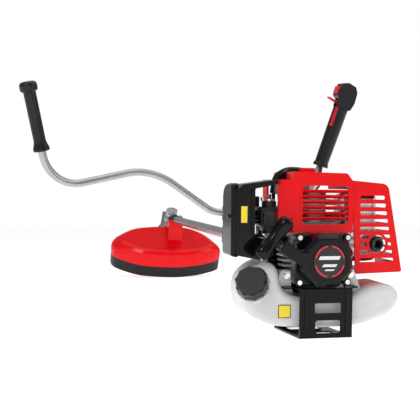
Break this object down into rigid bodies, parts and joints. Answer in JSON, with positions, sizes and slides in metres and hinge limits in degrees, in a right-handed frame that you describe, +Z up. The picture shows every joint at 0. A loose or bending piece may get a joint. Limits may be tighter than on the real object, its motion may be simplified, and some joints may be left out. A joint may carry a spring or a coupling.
{
  "type": "brush cutter",
  "caption": "Petrol brush cutter on a straight shaft, with bull-horn handlebars, a rear engine over a curved fuel tank, and a guarded blade on an angled gear head.",
  "frame": {"origin": "middle of the tank stand's foot, on the ground the machine rests on", "axes": "+Y horizontal, from the engine towards the cutting head; +X to the right of an operator facing +Y; +Z up. The shaft rises 2.75 degrees towards the head."},
  "size_m": [0.7762, 1.7273, 0.528],
  "materials": {
    "aluminium_tube": "brushed satin",
    "badge": "printed film",
    "black_casting": "satin",
    "black_gloss": "gloss moulded",
    "black_paint": "gloss",
    "black_plastic": "fine grain",
    "black_rubber": "smooth",
    "blued_steel": "ground",
    "bulb_clear": "clear",
    "cast_grey": "satin cast",
    "filter_foam": "open foam",
    "label_yellow": "printed film",
    "muffler_steel": "heat darkened",
    "porcelain": "glazed",
    "red_lever": "satin moulded",
    "red_plastic": "gloss moulded",
    "rope": "braided",
    "steel": "machined",
    "tank_plastic": "translucent",
    "zinc_screws": "zinc plated"
  },
  "bodies": {
    "machine": {"air_cleaner_case": "black_gloss", "air_filter": "filter_foam", "cable_clips": "black_plastic", "carburettor": "black_casting", "clamp_bolts": "zinc_screws", "clutch_housing": "cast_grey", "crankcase_front": "cast_grey", "crankcase_rear": "cast_grey", "crankshaft": "steel", "cylinder": "cast_grey", "engine_cover": "red_plastic", "fan_housing": "black_plastic", "flywheel": "cast_grey", "fuel_tank": "tank_plastic", "gear_head": "cast_grey", "grip_front": "black_plastic", "grip_rear": "black_plastic", "guard": "red_plastic", "guard_clamp": "black_casting", "guard_skirt": "black_plastic", "handle_clamp_base": "black_casting", "handle_clamp_cap": "black_casting", "handle_clamp_riser": "black_casting", "handlebar_left": "aluminium_tube", "handlebar_right": "aluminium_tube", "harness_clamp": "black_paint", "labels": "label_yellow", "left_grip": "black_rubber", "muffler": "muffler_steel", "muffler_cover": "red_plastic", "shaft_tube": "aluminium_tube", "spark_plug": "porcelain", "spark_plug_cap": "black_rubber", "starter_badge": "badge", "starter_cover": "black_gloss", "starter_rope": "rope", "starter_screws": "zinc_screws", "tank_bolts": "zinc_screws", "tank_stand": "black_paint", "throttle_cable": "black_rubber"},
    "cutter": {"output_spindle": "blued_steel", "cutting_blade": "blued_steel", "blade_washer": "steel", "blade_nut": "zinc_screws"},
    "driveline": {"drive_shaft": "steel", "clutch_drum": "blued_steel", "pinion": "blued_steel"},
    "thumb_throttle": {"throttle_trigger": "red_lever"},
    "carb_lever": {"carb_throttle_lever": "zinc_screws"},
    "lockout": {"lockout_lever": "red_lever"},
    "switch_rocker": {"stop_switch": "red_lever"},
    "choke": {"choke_lever": "black_plastic"},
    "primer": {"primer_bulb": "bulb_clear"},
    "pull_handle": {"starter_handle": "black_gloss"},
    "rope_pulley": {"starter_pulley": "black_plastic"},
    "cap_seal": {"fuel_cap_seal": "black_rubber"},
    "filler_cap": {"fuel_cap": "black_plastic"},
    "filter_cover": {"air_cleaner_cover": "black_gloss"},
    "upper_shoe": {"clutch_shoe_upper": "blued_steel"},
    "lower_shoe": {"clutch_shoe_lower": "blued_steel"}
  },
  "joints": [
    {"name": "blade_spin", "type": "hinge", "parent": "machine", "child": "cutter", "pos_m": [0, 1.49827, 0.20697], "axis": [0, 0.541, -0.841], "continuous": true},
    {"name": "driveshaft_spin", "type": "hinge", "parent": "machine", "child": "driveline", "pos_m": [0, 0.69919, 0.16859], "axis": [0, 0.9988, 0.048], "continuous": true},
    {"name": "throttle_trigger_pivot", "type": "hinge", "parent": "machine", "child": "thumb_throttle", "pos_m": [0.22932, 0.42011, 0.47909], "axis": [-0.0366, -0.9857, -0.1645], "range_deg": [0, 20], "stiffness_Nm_per_rad": 0.25, "springref_deg": -28.65},
    {"name": "carb_throttle_turn", "type": "hinge", "parent": "machine", "child": "carb_lever", "pos_m": [-0.078, -0.0048, 0.23489], "axis": [0, 0.048, -0.9988], "range_deg": [0, 50]},
    {"name": "lockout_lever_pivot", "type": "hinge", "parent": "machine", "child": "lockout", "pos_m": [0.21577, 0.41262, 0.46394], "axis": [0.6114, -0.7229, -0.3219], "range_deg": [0, 4], "stiffness_Nm_per_rad": 2, "springref_deg": -5.73},
    {"name": "stop_switch_rock", "type": "hinge", "parent": "machine", "child": "switch_rocker", "pos_m": [0.22337, 0.41571, 0.50677], "axis": [0.0366, 0.9857, 0.1645], "range_deg": [-6, 6]},
    {"name": "choke_lever_turn", "type": "hinge", "parent": "machine", "child": "choke", "pos_m": [-0.1005, -0.01792, 0.21623], "axis": [-1, 0, 0], "range_deg": [0, 50]},
    {"name": "primer_bulb_press", "type": "slide", "parent": "machine", "child": "primer", "axis": [0, -0.048, 0.9988], "range_m": [0, 0.003], "stiffness_N_per_m": 600, "springref_m": -0.001},
    {"name": "starter_pull", "type": "slide", "parent": "machine", "child": "pull_handle", "axis": [-0.848, -0.0254, 0.5294], "range_m": [0, 0.5], "stiffness_N_per_m": 14, "springref_m": -0.6},
    {"name": "starter_pulley_turn", "type": "hinge", "parent": "machine", "child": "rope_pulley", "pos_m": [0, -0.07591, 0.13135], "axis": [0, 0.9988, 0.048], "range_deg": [0, 1433]},
    {"name": "fuel_cap_lift", "type": "slide", "parent": "machine", "child": "cap_seal", "axis": [-0.3603, -0.8043, 0.4724], "range_m": [0, 0.0061]},
    {"name": "fuel_cap_turn", "type": "hinge", "parent": "cap_seal", "child": "filler_cap", "pos_m": [-0.127, -0.06424, 0.09687], "axis": [-0.3603, -0.8043, 0.4724], "range_deg": [0, 720]},
    {"name": "air_cleaner_cover_off", "type": "slide", "parent": "machine", "child": "filter_cover", "axis": [-1, 0, 0], "range_m": [0, 0.12]},
    {"name": "clutch_shoe_out", "type": "slide", "parent": "machine", "child": "upper_shoe", "axis": [0, -0.048, 0.9988], "range_m": [0, 0.001], "stiffness_N_per_m": 4000, "springref_m": -0.001},
    {"name": "clutch_shoe_out_lower", "type": "slide", "parent": "machine", "child": "lower_shoe", "axis": [0, 0.048, -0.9988], "range_m": [0, 0.001], "stiffness_N_per_m": 4000, "springref_m": -0.001}
  ],
  "couplings": [
    {"joint": "driveshaft_spin", "follows": "blade_spin", "ratio": -1.3571},
    {"joint": "carb_throttle_turn", "follows": "throttle_trigger_pivot", "ratio": 2.5},
    {"joint": "starter_pulley_turn", "follows": "starter_pull", "rad_per_m": 50},
    {"joint": "fuel_cap_lift", "follows": "fuel_cap_turn", "m_per_rad": 0.00047746},
    {"joint": "clutch_shoe_out_lower", "follows": "clutch_shoe_out", "ratio": 1}
  ]
}
